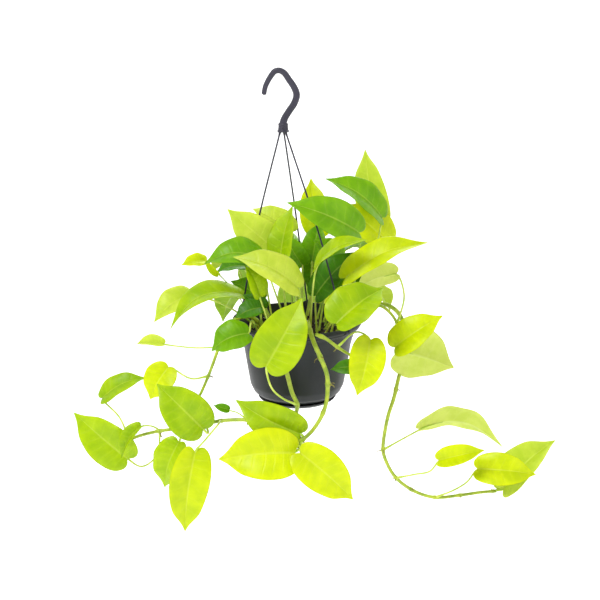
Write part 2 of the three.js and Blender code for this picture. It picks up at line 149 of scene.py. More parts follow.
# Name, what it grows on, stalk points, blade base, blade tip, facing, width, bend, fold in
# degrees, look.
LEAVES = [
  ('leaf_top_pale', 'soil', [[60, 34, -300], [95, 60, -240]],
    [121, 68, -184], [103, 78, -94], [-2, -9, 3], 46, 0.04, 12, 'pale'),
  ('leaf_top_green', 'soil', [[66, 14, -300], [106, 26, -235]],
    [122, 28, -170], [54, 20, -121], [-1, -5, 8], 50, 0.12, 10, 'green'),
  ('leaf_top_small', 'soil', [[30, 40, -300], [40, 56, -250]],
    [46, 58, -196], [37, 68, -128], [0, -8, 4], 42, 0.05, 12, 'yellow'),
  ('leaf_crown_big', 'soil', [[52, -4, -300], [88, -14, -240]],
    [92, -21, -180], [9, -40, -141], [2, -8, 5], 52, 0.1, 8, 'green'),
  ('leaf_crown_behind', 'soil', [[70, 28, -300], [118, 50, -250]],
    [131, 50, -205], [72, 46, -156], [2, -8, 5], 54, 0.08, 10, 'yellow'),
  ('leaf_crown_light', 'soil', [[36, -36, -300], [37, -41, -260]],
    [41, -51, -215], [97, -79, -176], [-3, -4, 9], 37, 0.12, 6, 'fresh'),
  ('leaf_crown_shade', 'soil', [[44, -16, -300], [42, -16, -280]],
    [42, -18, -256], [95, -10, -202], [-3, -8, 5], 40, 0.08, 10, 'deep'),
  ('leaf_right_bright', 'soil', [[60, -20, -300], [69, -30, -262]],
    [76, -46, -228], [168, -45, -182], [-3, -5, 8], 48, 0.1, 8, 'yellow'),
  ('leaf_right_under', 'crown_shoot', [[138, -29, -288], [146, -24, -255]],
    [136, -24, -228], [86, -36, -246], [0, 9, 4], 38, 0.1, 6, 'pale'),
  ('leaf_front_cupped', 'soil', [[50, -38, -299], [62, -62, -276], [71, -90, -272]],
    [64, -100, -268], [118, -64, -234], [-1, -6, 7], 62, 0.08, 14, 'fresh'),
  ('leaf_crown_left', 'soil', [[8, -12, -300], [4, -14, -250]],
    [-2, -14, -204], [-61, -18, -153], [-3, -8, 4], 50, 0.06, 10, 'pale'),
  ('leaf_crown_left_back', 'soil', [[14, 18, -300], [14, 26, -240]],
    [14, 28, -188], [-34, 34, -160], [-2, -6, 7], 38, 0.08, 8, 'pale'),
  ('leaf_crown_upright', 'soil', [[14, -28, -300], [6, -42, -255]],
    [0, -44, -212], [14, -30, -146], [-5, -8, 2], 38, 0.05, 14, 'fresh'),
  ('leaf_left_humped', 'soil', [[-6, -24, -300], [-14, -36, -250]],
    [-20, -48, -206], [-86, -58, -207], [-1, -6, 8], 46, 0.2, 8, 'green'),
  ('leaf_front_pale', 'soil', [[26, -56, -300], [26, -70, -262]],
    [21, -78, -232], [-50, -80, -194], [2, -6, 8], 50, 0.12, 6, 'pale'),
  ('leaf_front_small', 'soil', [[-6, -46, -300], [-16, -60, -268]],
    [-22, -66, -245], [-38, -62, -210], [6, -8, 2], 28, 0.1, 12, 'fresh'),
  ('leaf_left_shade', 'soil', [[-20, -2, -300], [-30, -4, -260]],
    [-38, -4, -224], [-78, -8, -230], [-1, -3, 9], 34, 0.1, 8, 'deep'),
  ('leaf_left_arching', 'soil', [[-24, -8, -300], [-36, -12, -272]],
    [-46, -22, -254], [-130, -45, -288], [-3, -4, 8], 46, 0.24, 8, 'fresh'),
  ('leaf_left_far', 'soil', [[-26, 10, -300], [-68, 14, -276]],
    [-108, 10, -262], [-152, -12, -289], [-5, -7, 4], 42, 0.12, 10, 'pale'),
  ('leaf_left_tiny', 'soil', [[-32, 2, -300], [-56, 17, -223]],
    [-86, -22, -213], [-114, -36, -215], [-1, -6, 6], 22, 0.08, 10, 'yellow'),
  ('leaf_front_shade', 'soil', [[-22, -34, -300], [-22, -44, -278]],
    [-22, -52, -262], [-52, -58, -272], [-1, -6, 8], 30, 0.1, 8, 'deep'),
  ('leaf_rim_left', 'soil', [[-22, -44, -300], [-32, -56, -276]],
    [-36, -70, -288], [-79, -72, -308], [-3, -7, 6], 44, 0.14, 8, 'green'),
  ('leaf_front_big', 'vine_left_long', [[20, -84, -369], [4, -100, -356], [-9, -112, -338]],
    [-14, -112, -314], [26, -98, -239], [0, -9, 2], 62, 0.04, 8, 'fresh'),
  ('leaf_left_curled', 'vine_left_short', [[-71, -48, -311], [-102, -30, -317]],
    [-142, -2, -320], [-177, 8, -323], [-1, -6, 7], 20, 0.1, 24, 'pale'),
  ('leaf_left_round', 'vine_left_short', [[-84, -52, -345], [-106, -40, -352]],
    [-134, -24, -343], [-157, -30, -382], [-2, -9, 2], 42, 0.08, 8, 'yellow'),
  ('leaf_far_left_back', 'vine_left_long', [[-183, -32, -432], [-198, -8, -412]],
    [-221, 8, -393], [-166, 12, -366], [0, -6, 8], 34, 0.1, 8, 'fresh'),
  ('leaf_far_left_tip', 'vine_left_long', [[-144, -42, -417], [-150, -34, -452], [-170, -30, -468]],
    [-186, -34, -456], [-247, -40, -395], [-1, -9, 3], 56, 0.06, 8, 'fresh'),
  ('leaf_far_left_curl', 'vine_left_long', [[-144, -42, -417], [-152, -50, -408]],
    [-166, -50, -408], [-190, -56, -447], [-6, -6, 1], 26, 0.12, 30, 'fresh'),
  ('leaf_low_left_broad', 'vine_left_long', [[-88, -55, -403], [-84, -66, -412]],
    [-90, -70, -404], [-143, -66, -350], [-1, -9, 4], 58, 0.08, 8, 'fresh'),
  ('leaf_low_left_behind', 'vine_left_long', [[-113, -50, -410], [-116, -60, -414]],
    [-120, -62, -424], [-140, -58, -484], [-4, -8, 1], 46, 0.08, 8, 'fresh'),
  ('leaf_low_left_long', 'vine_left_long', [[-70, -59, -398], [-72, -86, -394], [-88, -92, -412]],
    [-98, -88, -426], [-112, -90, -527], [1, -9, 0], 52, 0.05, 10, 'yellow'),
  ('leaf_low_left_small', 'vine_left_long', [[-38, -66, -394], [-50, -64, -386]],
    [-60, -60, -384], [-78, -60, -378], [0, -7, 6], 12, 0.08, 8, 'green'),
  ('leaf_low_mid_top', 'vine_front', [[26, -95, -408], [27, -91, -405]],
    [23, -90, -402], [-50, -92, -361], [1, -9, 2], 50, 0.08, 8, 'fresh'),
  ('leaf_low_mid_front', 'vine_front', [[26, -95, -408], [22, -104, -416]],
    [17, -108, -418], [-70, -112, -425], [0, -9, 3], 66, 0.06, 10, 'yellow'),
  ('leaf_low_mid_right', 'vine_front', [[20, -95, -413], [24, -114, -410]],
    [24, -120, -414], [85, -122, -471], [1, -9, 2], 54, 0.06, 8, 'yellow'),
  ('leaf_right_heart', 'side_shoot', [[66, -78, -302], [88, -70, -286]],
    [103, -84, -292], [88, -96, -355], [0, -9, 2], 46, 0.08, 10, 'yellow'),
  ('leaf_right_low', 'side_shoot', [[93, -70, -319], [97, -74, -322]],
    [92, -80, -325], [58, -80, -328], [-1, -8, 4], 20, 0.06, 8, 'deep'),
  ('leaf_right_edge', 'crown_shoot', [[141, -28, -296], [136, -42, -302]],
    [134, -48, -311], [188, -50, -271], [-2, -7, 6], 46, 0.1, 8, 'yellow'),
  ('leaf_right_reverse', 'crown_shoot', [[141, -28, -298], [145, -16, -308]],
    [142, -20, -324], [209, -12, -346], [1, 9, 1], 78, 0.06, 8, 'pale'),
  ('leaf_low_right_long', 'vine_right', [[126, -8, -455], [142, -4, -447], [160, 4, -440]],
    [173, 6, -432], [276, -2, -450], [0, 6, 5], 56, 0.2, 8, 'pale'),
  ('leaf_low_right_tongue', 'vine_right', [[143, -6, -493], [166, -20, -482], [182, -30, -474]],
    [192, -34, -458], [246, -42, -441], [0, -8, 6], 32, 0.08, 24, 'yellow'),
  ('leaf_low_right_mid', 'vine_right', [[193, -2, -521], [214, -10, -508], [230, -16, -494]],
    [242, -18, -476], [314, -24, -480], [0, -8, 6], 46, 0.1, 8, 'yellow'),
  ('leaf_low_right_end', 'vine_right', [[266, 4, -515], [272, 4, -514]],
    [279, 3, -512], [343, 12, -449], [-6, -7, 4], 58, 0.08, 26, 'pale'),
  ('leaf_back_left', 'soil', [[6, 34, -300], [-12, 70, -262]],
    [-18, 92, -250], [-50, 142, -290], [-2, 6, 8], 58, 0.14, 8, 'green'),
  ('leaf_back_right', 'soil', [[44, 42, -300], [59, 72, -256]],
    [67, 91, -245], [101, 141, -283], [2, 6, 8], 58, 0.14, 8, 'fresh'),
  ('leaf_back_middle', 'soil', [[26, 48, -300], [22, 80, -270]],
    [20, 100, -272], [10, 122, -345], [0, 9, 3], 54, 0.1, 8, 'green'),
]

# Leaves with no collision solid of their own, in the same columns.
EXTRA_LEAVES = [
  ('extra_leaf_back_1', 'soil', [[20, 24, -300], [20, 44, -250]],
    [18, 60, -214], [-22, 92, -196], [-2, 5, 8], 46, 0.14, 8, 'green'),
  ('extra_leaf_back_2', 'soil', [[52, 30, -300], [70, 58, -246]],
    [78, 72, -220], [120, 104, -232], [2, 5, 8], 48, 0.14, 8, 'deep'),
  ('extra_leaf_back_3', 'soil', [[-8, 22, -300], [-34, 46, -258]],
    [-46, 56, -238], [-92, 84, -250], [-3, 4, 8], 48, 0.16, 8, 'fresh'),
  ('extra_leaf_back_4', 'soil', [[32, 50, -300], [42, 82, -262]],
    [48, 98, -262], [58, 122, -322], [2, 9, 3], 44, 0.1, 8, 'yellow'),
  ('extra_leaf_back_5', 'soil', [[-14, 34, -300], [-40, 64, -274]],
    [-52, 74, -270], [-78, 98, -318], [-4, 7, 4], 46, 0.12, 8, 'green'),
  ('extra_leaf_back_6', 'soil', [[66, 36, -300], [92, 56, -272]],
    [104, 62, -266], [140, 84, -300], [5, 6, 5], 44, 0.14, 8, 'fresh'),
  ('extra_leaf_middle', 'soil', [[36, 12, -300], [37, 18, -250]],
    [38, 22, -222], [46, 30, -176], [-2, -8, 3], 34, 0.06, 12, 'green'),
  ('extra_leaf_crown_gap', 'soil', [[54, 14, -300], [66, 18, -252]],
    [70, 18, -224], [40, 10, -194], [1, -7, 6], 40, 0.1, 8, 'green'),
  ('extra_leaf_crown_low', 'soil', [[46, -10, -300], [52, -6, -264]],
    [56, -5, -249], [94, -4, -219], [-2, -7, 6], 32, 0.1, 8, 'green'),
  ('extra_leaf_crown_dark', 'soil', [[14, 0, -300], [14, 2, -262]],
    [14, 4, -240], [-28, 2, -214], [-3, -7, 6], 36, 0.1, 8, 'deep'),
  ('extra_leaf_crown_mid', 'soil', [[26, 10, -300], [26, 14, -246]],
    [26, 14, -226], [4, 10, -186], [-3, -8, 4], 34, 0.08, 8, 'green'),
  ('extra_leaf_rim', 'soil', [[-2, -34, -300], [-12, -35, -280]],
    [-18, -34, -268], [-43, -37, -250], [-3, -7, 6], 24, 0.1, 8, 'deep'),
  ('extra_leaf_inner_1', 'soil', [[48, 26, -300], [52, 32, -276]],
    [52, 32, -259], [26, 38, -214], [-1, -8, 4], 38, 0.1, 8, 'deep'),
  ('extra_leaf_inner_2', 'soil', [[-12, 8, -300], [-18, 10, -284]],
    [-22, 10, -268], [-60, 8, -244], [-2, -7, 6], 36, 0.12, 8, 'green'),
  ('extra_leaf_inner_3', 'soil', [[68, 20, -300], [76, 22, -274]],
    [80, 20, -257], [104, 16, -232], [2, -8, 5], 36, 0.1, 8, 'deep'),
  ('extra_leaf_bud', 'soil', [[-26, -4, -300], [-52, -4, -258]],
    [-72, -27, -229], [-87, -34, -208], [-4, -7, 4], 12, 0.06, 30, 'yellow'),
]

# ---------------- curves and meshes


class Path:
    """A smooth curve through points, read at equal shares of its length."""

    DENSE = 40

    def __init__(self, points):
        points = [Vector(p) for p in points]
        knots = [2 * points[0] - points[1], *points, 2 * points[-1] - points[-2]]
        self.line = []
        for i in range(1, len(knots) - 2):
            for k in range(self.DENSE):
                self.line.append(self.between(knots[i - 1:i + 3], k / self.DENSE))
        self.line.append(points[-1])
        self.lengths = [0.0]
        for a, b in zip(self.line, self.line[1:]):
            self.lengths.append(self.lengths[-1] + (b - a).length)
        self.length = self.lengths[-1]

    @staticmethod
    def between(knots, share):
        """Centripetal Catmull-Rom from the second knot to the third."""
        p0, p1, p2, p3 = knots
        d0, d1, d2 = (max((b - a).length ** 0.5, 1e-4) for a, b in zip(knots, knots[1:]))
        m1 = d1 * ((p1 - p0) / d0 - (p2 - p0) / (d0 + d1) + (p2 - p1) / d1)
        m2 = d1 * ((p2 - p1) / d1 - (p3 - p1) / (d1 + d2) + (p3 - p2) / d2)
        c2 = -3 * p1 + 3 * p2 - 2 * m1 - m2
        c3 = 2 * p1 - 2 * p2 + m1 + m2
        return p1 + m1 * share + c2 * share ** 2 + c3 * share ** 3

    def at(self, share):
        goal = min(max(share, 0.0), 1.0) * self.length
        low, high = 0, len(self.lengths) - 1
        while high - low > 1:
            middle = (low + high) // 2
            if self.lengths[middle] <= goal:
                low = middle
            else:
                high = middle
        span = self.lengths[high] - self.lengths[low]
        return self.line[low].lerp(self.line[high], (goal - self.lengths[low]) / max(span, 1e-9))

    def direction(self, share):
        step = 0.5 / self.length
        return (self.at(share + step) - self.at(share - step)).normalized()

    def nearest(self, point):
        """The share of the length where the curve passes closest to a point."""
        found = min(range(len(self.line)), key=lambda i: (self.line[i] - Vector(point)).length)
        return self.lengths[found] / self.length


def upward(height):
    return Vector((0, 0, height))


def spoke(degrees):
    """The way out from the middle at an angle, and the way along the rim there."""
    turn = math.radians(degrees)
    out = Vector((math.cos(turn), math.sin(turn), 0))
    return out, Vector((-out.y, out.x, 0))


def strip(k, count, rings, last):
    """The faces from pole to pole between corner k of each ring and the next corner round."""
    n = (k + 1) % count
    faces = [[0, 1 + n, 1 + k]]
    for r in range(rings - 1):
        a = 1 + r * count + k
        b = 1 + r * count + n
        faces.append([a, b, b + count, a + count])
    tail = 1 + (rings - 1) * count
    faces.append([tail + k, tail + n, last])
    return faces


class Solid:
    """One mesh in the making: corners with growth coordinates, and faces with material numbers."""

    def __init__(self):
        self.corners, self.faces, self.kinds, self.coords = [], [], [], []

    def add(self, corners, faces, kinds, coords=None):
        first = len(self.corners)
        self.corners += corners
        self.faces += [[first + i for i in face] for face in faces]
        self.kinds += kinds
        self.coords += coords or [(0.5, 0.5)] * len(corners)

    def add_loft(self, rings, kind=0, coords=None, poles=None):
        """Rings of equal size joined into a closed skin, with a pole at each end."""
        count = len(rings[0])
        start = poles[0] if poles else sum(rings[0], Vector()) / count
        end = poles[1] if poles else sum(rings[-1], Vector()) / count
        corners = [start, *(p for ring in rings for p in ring), end]
        last = len(corners) - 1
        faces = [face for k in range(count) for face in strip(k, count, len(rings), last)]
        self.add(corners, faces, [kind] * len(faces), coords)

    def add_rod(self, path, radius_at, sides, steps, kind=0, shape=None):
        """A rod along a path; radius_at takes the share of its length, shape bends its section."""
        rings, side = [], None
        shares = [i / steps for i in range(steps + 1)]
        for share in shares:
            along = path.direction(share)
            if side is None:
                side = upward(1) if abs(along.z) < 0.9 else Vector((1, 0, 0))
            side = (side - along * side.dot(along)).normalized()
            up = along.cross(side)
            ring = []
            for k in range(sides):
                turn = 2 * math.pi * k / sides
                reach = radius_at(share) * (shape(turn, share) if shape else 1.0)
                ring.append(path.at(share) + side * (reach * math.cos(turn))
                            + up * (reach * math.sin(turn)))
            rings.append(ring)
        bulge = 0.5
        poles = (path.at(0) - path.direction(0) * (bulge * radius_at(0)),
                 path.at(1) + path.direction(1) * (bulge * radius_at(1)))
        coords = [(0, 0)] + [(share, k / sides) for share in shares for k in range(sides)] + [(1, 0)]
        self.add_loft(rings, kind, coords, poles)

    def add_turned(self, profile, centre, sides, kind=0):
        """A profile of (radius, height) turned round a vertical axis; it starts and ends on the axis."""
        rings = []
        for radius, height in profile[1:-1]:
            rings.append([centre + Vector((radius * math.cos(2 * math.pi * k / sides),
                                           radius * math.sin(2 * math.pi * k / sides), height))
                          for k in range(sides)])
        poles = (centre + upward(profile[0][1]), centre + upward(profile[-1][1]))
        self.add_loft(rings, kind, None, poles)

    def add_pad(self, centre, degrees, half_wide, half_deep, square, sides, levels):
        """A pad with rounded corners, from its (height, share of full size) levels."""
        out, side = spoke(degrees)
        rings = []
        for height, grow in levels:
            ring = []
            for k in range(sides):
                a = 2 * math.pi * k / sides
                wide = math.copysign(abs(math.cos(a)) ** square, math.cos(a)) * half_wide * grow
                deep = math.copysign(abs(math.sin(a)) ** square, math.sin(a)) * half_deep * grow
                ring.append(centre + side * wide + out * deep + upward(height))
            rings.append(ring)
        self.add_loft(rings)

    def finish(self, name, materials, replaces=(), smooth=0, sharp=None, tone=0.0):
        mesh = bpy.data.meshes.new(name)
        mesh.from_pydata([p * MM for p in self.corners], [], self.faces)
        layer = mesh.uv_layers.new(name="growth")
        for loop in mesh.loops:
            layer.data[loop.index].uv = self.coords[loop.vertex_index]
        shade = mesh.attributes.new("tone", "FLOAT", "POINT")
        shade.data.foreach_set("value", [tone] * len(mesh.vertices))
        for material in materials:
            mesh.materials.append(material)
        for polygon, kind in zip(mesh.polygons, self.kinds):
            polygon.material_index = kind
            polygon.use_smooth = True
        if sharp is not None:
            mesh.set_sharp_from_angle(angle=math.radians(sharp))
        mesh.validate()
        piece = bpy.data.objects.new(name, mesh)
        bpy.context.collection.objects.link(piece)
        if smooth:
            modifier = piece.modifiers.new("smooth", "SUBSURF")
            modifier.levels = smooth
            modifier.render_levels = smooth
        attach(piece, "root")
        if replaces:
            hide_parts(*replaces)
        return piece


def fillet(profile, radius, steps=3):
    """Rounds the inner corners of a (radius, height) profile."""
    points = [Vector((*p, 0)) for p in profile]
    out = [points[0]]
    for before, corner, after in zip(points, points[1:], points[2:]):
        cut = min(radius, 0.4 * (before - corner).length, 0.4 * (after - corner).length)
        start = corner + (before - corner).normalized() * cut
        end = corner + (after - corner).normalized() * cut
        for i in range(steps + 1):
            t = i / steps
            out.append(start.lerp(corner, t).lerp(corner.lerp(end, t), t))
    out.append(points[-1])
    return [(p.x, p.y) for p in out]


# ---------------- materials


def srgb(red, green, blue):
    def linear(value):
        value /= 255
        return value / 12.92 if value <= 0.04045 else ((value + 0.055) / 1.055) ** 2.4
    return (linear(red), linear(green), linear(blue), 1.0)


class Nodes:
    """Short ways to add and join shader nodes."""

    def __init__(self, name):
        self.material = bpy.data.materials.new(name)
        self.material.use_nodes = True
        self.tree = self.material.node_tree
        self.tree.nodes.clear()
        self.output = self.tree.nodes.new("ShaderNodeOutputMaterial")

    def add(self, kind, **settings):
        node = self.tree.nodes.new(kind)
        for key, value in settings.items():
            setattr(node, key, value)
        return node

    def join(self, source, target):
        self.tree.links.new(source, target)

    def feed(self, socket, value):
        if isinstance(value, (int, float, tuple)):
            socket.default_value = value
        else:
            self.join(value, socket)

    def times(self, a, b):
        return self.math("MULTIPLY", a, b)

    def math(self, operation, a, b=0.0, c=0.0, clamp=False):
        node = self.add("ShaderNodeMath", operation=operation, use_clamp=clamp)
        for socket, value in zip(node.inputs, (a, b, c)):
            self.feed(socket, value)
        return node.outputs[0]

    def ramp(self, value, low, high):
        """0 below low, 1 above high, smooth between."""
        node = self.add("ShaderNodeMapRange", interpolation_type="SMOOTHSTEP")
        self.feed(node.inputs["Value"], value)
        self.feed(node.inputs["From Min"], low)
        self.feed(node.inputs["From Max"], high)
        return node.outputs["Result"]

    def mix_colour(self, share, a, b):
        node = self.add("ShaderNodeMix", data_type="RGBA", blend_type="MIX")
        self.feed(node.inputs[0], share)
        self.feed(node.inputs[6], a)
        self.feed(node.inputs[7], b)
        return node.outputs[2]

    def noise(self, scale, detail=3.0, roughness=0.5, stretch=None):
        place = self.add("ShaderNodeTexCoord").outputs["Object"]
        if stretch:
            mapping = self.add("ShaderNodeMapping")
            mapping.inputs["Scale"].default_value = stretch
            self.join(place, mapping.inputs["Vector"])
            place = mapping.outputs["Vector"]
        node = self.add("ShaderNodeTexNoise")
        self.join(place, node.inputs["Vector"])
        for key, value in (("Scale", scale), ("Detail", detail), ("Roughness", roughness)):
            node.inputs[key].default_value = value
        return node.outputs["Fac"]

    def growth(self):
        """A leaf or stem's own coordinates: along it in X, across or round it in Y."""
        split = self.add("ShaderNodeSeparateXYZ")
        layer = self.add("ShaderNodeUVMap", uv_map="growth")
        self.join(layer.outputs["UV"], split.inputs[0])
        return split.outputs["X"], split.outputs["Y"]

    def cells(self, scale):
        place = self.add("ShaderNodeTexCoord").outputs["Object"]
        node = self.add("ShaderNodeTexVoronoi", feature="F1")
        self.join(place, node.inputs["Vector"])
        node.inputs["Scale"].default_value = scale
        return node.outputs["Distance"]

    def bump(self, height, distance, strength=1.0, under=None):
        node = self.add("ShaderNodeBump")
        node.inputs["Distance"].default_value = distance
        node.inputs["Strength"].default_value = strength
        self.join(height, node.inputs["Height"])
        if under is not None:
            self.join(under, node.inputs["Normal"])
        return node.outputs["Normal"]

    def surface(self, colour, roughness, normal=None, **constants):
        node = self.add("ShaderNodeBsdfPrincipled")
        self.feed(node.inputs["Base Color"], colour)
        self.feed(node.inputs["Roughness"], roughness)
        for key, value in constants.items():
            node.inputs[key.replace("_", " ")].default_value = value
        if normal is not None:
            self.join(normal, node.inputs["Normal"])
        return node.outputs["BSDF"]

    def show(self, shader):
        self.join(shader, self.output.inputs["Surface"])
        return self.material


def leaf_skin(name, light, dark, vein, glow, rough, through, relief):
    """A blade's skin: veins, mottle and a paler margin, and light that comes through."""
    n = Nodes(name)
    along, over = n.growth()
    across = n.math("ABSOLUTE", n.math("MULTIPLY_ADD", over, 2.0, -1.0))
    waver = n.noise(60.0, 2.0)
    shifted = n.math("MULTIPLY_ADD", waver, 0.05, along)
    beat = n.math("FRACT", n.times(shifted, float(VEINS)))
    off_vein = n.math("ABSOLUTE", n.math("SUBTRACT", beat, 0.5))
    lateral = n.math("SUBTRACT", 1.0, n.ramp(off_vein, 0.02, 0.13))
    fade = n.math("SUBTRACT", 1.0, n.ramp(across, 0.55, 0.98))
    lateral = n.times(lateral, fade)
    fine_beat = n.math("FRACT", n.times(shifted, float(4 * VEINS)))
    fine = n.math("ABSOLUTE", n.math("SUBTRACT", fine_beat, 0.5))
    midrib = n.math("SUBTRACT", 1.0, n.ramp(across, 0.015, 0.07))
    mottle = n.ramp(n.noise(46.0, 5.0, 0.62), 0.34, 0.66)
    tone = n.add("ShaderNodeAttribute", attribute_name="tone").outputs["Fac"]
    deep = n.math("MULTIPLY_ADD", tone, 0.5, n.times(mottle, 0.55), clamp=True)
    edge = n.ramp(across, 0.6, 1.0)
    deep = n.math("SUBTRACT", deep, n.times(edge, 0.3), clamp=True)
    colour = n.mix_colour(deep, light, dark)
    stripes = n.times(n.ramp(off_vein, 0.1, 0.5), 0.22)
    colour = n.mix_colour(n.times(stripes, 0.6), colour, dark)
    colour = n.mix_colour(n.times(lateral, VEIN_TINT), colour, vein)
    colour = n.mix_colour(n.times(midrib, MIDRIB_TINT), colour, vein)
    speckle = n.ramp(n.noise(900.0, 2.0), 0.3, 0.7)
    colour = n.mix_colour(n.times(speckle, 0.1), colour, dark)
    height = n.math("MULTIPLY_ADD", lateral, -1.0 * relief, n.times(midrib, -1.4 * relief))
    height = n.math("MULTIPLY_ADD", fine, 0.18, height)
    normal = n.bump(height, 0.0005, BLADE_BUMP)
    normal = n.bump(n.cells(1500.0), 0.0001, 0.35, normal)
    roughness = n.math("MULTIPLY_ADD", n.noise(220.0), 0.14, rough)
    skin = n.surface(colour, roughness, normal, Specular_IOR_Level=0.3)
    thin = n.add("ShaderNodeBsdfTranslucent")
    n.join(n.mix_colour(0.5, colour, glow), thin.inputs["Color"])
    n.join(normal, thin.inputs["Normal"])
    both = n.add("ShaderNodeMixShader")
    both.inputs[0].default_value = through
    n.join(skin, both.inputs[1])
    n.join(thin.outputs[0], both.inputs[2])
    return n.show(both.outputs[0])


def stem_skin(name, light, dark, scar):
    """Smooth green bark with fine lengthwise lines and browner spots."""
    n = Nodes(name)
    _, around = n.growth()
    rib_count = 9
    ribs = n.math("SINE", n.times(around, 2 * math.pi * rib_count))
    mottle = n.ramp(n.noise(90.0, 4.0, 0.6), 0.35, 0.7)
    colour = n.mix_colour(mottle, light, dark)
    lines = n.math("MULTIPLY_ADD", ribs, 0.08, 0.08)
    colour = n.mix_colour(lines, colour, dark)
    spots = n.ramp(n.noise(420.0, 2.0), 0.62, 0.72)
    colour = n.mix_colour(n.times(spots, 0.3), colour, scar)
    height = n.math("MULTIPLY_ADD", ribs, 0.3, n.noise(500.0))
    normal = n.bump(height, 0.00025, 0.5)
    roughness = n.math("MULTIPLY_ADD", n.noise(150.0), 0.2, 0.36)
    return n.show(n.surface(colour, roughness, normal, Coat_Weight=0.1, Coat_Roughness=0.3,
                            Subsurface_Weight=0.15, Subsurface_Scale=0.004))


def root_skin():
    n = Nodes("root_tips")
    colour = n.mix_colour(n.ramp(n.noise(400.0, 3.0), 0.3, 0.7), srgb(150, 146, 66), srgb(104, 92, 44))
    normal = n.bump(n.noise(900.0), 0.0003, 0.7)
    return n.show(n.surface(colour, 0.8, normal))


def pot_skin(name, light, dark, rough):
    """Moulded plastic: a fine grain, slow changes of gloss, and patches of dust."""
    n = Nodes(name)
    cloud = n.ramp(n.noise(14.0, 5.0, 0.6), 0.3, 0.7)
    colour = n.mix_colour(cloud, dark, light)
    dust = n.ramp(n.noise(160.0, 6.0, 0.7), 0.58, 0.8)
    colour = n.mix_colour(n.times(dust, 0.18), colour, srgb(78, 80, 74))
    streaks = n.noise(60.0, 4.0, 0.6, stretch=(1.0, 1.0, 0.12))
    roughness = n.math("MULTIPLY_ADD", streaks, 0.22, rough)
    roughness = n.math("MULTIPLY_ADD", dust, 0.2, roughness)
    normal = n.bump(n.noise(1300.0, 2.0), 0.00008, 0.5)
    normal = n.bump(n.noise(25.0, 3.0), 0.0006, 0.25, normal)
    return n.show(n.surface(colour, roughness, normal, Specular_IOR_Level=0.35))


def soil_skin(name, dark, light, grain):
    n = Nodes(name)
    tint = n.ramp(n.noise(grain, 6.0, 0.7), 0.3, 0.7)
    colour = n.mix_colour(tint, dark, light)
    height = n.math("ADD", n.noise(grain * 2.0, 6.0, 0.75), n.cells(grain * 4.0))
    normal = n.bump(height, 0.0015, 0.9)
    return n.show(n.surface(colour, 0.92, normal))


# The colour of each look: light and dark parts of the upper side, and of the lower side.
LOOKS = {
    "yellow": (srgb(228, 238, 1), srgb(188, 210, 1), srgb(222, 230, 60), srgb(196, 212, 30)),
    "fresh": (srgb(190, 216, 1), srgb(140, 182, 1), srgb(206, 222, 66), srgb(170, 200, 30)),
    "green": (srgb(134, 190, 1), srgb(84, 152, 1), srgb(176, 206, 60), srgb(130, 178, 26)),
    # The deep look is a darker copy of the leaf green on both sides: painted shade for leaves that stand
    # in shadow inside the crown and behind other leaves.
    "deep": (srgb(78, 146, 2), srgb(38, 98, 2), srgb(140, 182, 56), srgb(86, 142, 24)),
    # The pale look is partly the leaves' own paler colour and partly a painted sheen.
    "pale": (srgb(216, 230, 82), srgb(182, 208, 50), srgb(230, 236, 130), srgb(202, 216, 86)),
}


def make_materials():
    made = {}
    for look, (light, dark, under_light, under_dark) in LOOKS.items():
        glow = srgb(220, 236, 2)
        vein = tuple(0.55 * a + 0.45 * b for a, b in zip(light, srgb(232, 240, 120)))
        made[look] = (
            leaf_skin(f"leaf_{look}_upper", light, dark, vein, glow, 0.3, 0.3, 1.0),
            leaf_skin(f"leaf_{look}_lower", under_light, under_dark,
                      srgb(228, 236, 150), glow, 0.46, 0.35, -1.0),
        )
    made["stalk"] = stem_skin("leaf_stalk", srgb(206, 222, 96), srgb(166, 198, 50), srgb(170, 160, 70))
    made["stem"] = stem_skin("stem_bark", srgb(182, 200, 50), srgb(132, 158, 28), srgb(128, 108, 48))
    made["root"] = root_skin()
    made["pot"] = pot_skin("pot_plastic", srgb(22, 29, 31), srgb(14, 19, 21), 0.34)
    made["hanger"] = pot_skin("hanger_plastic", srgb(62, 60, 72), srgb(44, 43, 54), 0.34)
    made["soil"] = soil_skin("potting_soil", srgb(30, 22, 17), srgb(66, 48, 34), 260.0)
    made["bark"] = soil_skin("bark_bits", srgb(60, 40, 26), srgb(110, 78, 50), 500.0)
    made["perlite"] = soil_skin("perlite_grains", srgb(190, 186, 176), srgb(226, 224, 216), 700.0)
    return made


# ---------------- leaves


def outline_side(t):
    return math.sin(math.pi * t ** 0.88) ** 0.74 if 0 < t < 1 else 0.0


def outline_along(t):
    return t ** 1.2 - LOBE * math.sin(math.pi * math.sqrt(t)) * (1 - t)


def vein_root(t):
    return t ** 1.9


def smooth_step(low, high, value):
    t = min(max((value - low) / (high - low), 0.0), 1.0)
    return t * t * (3 - 2 * t)


def lean(value, other, share):
    return value + (other - value) * share


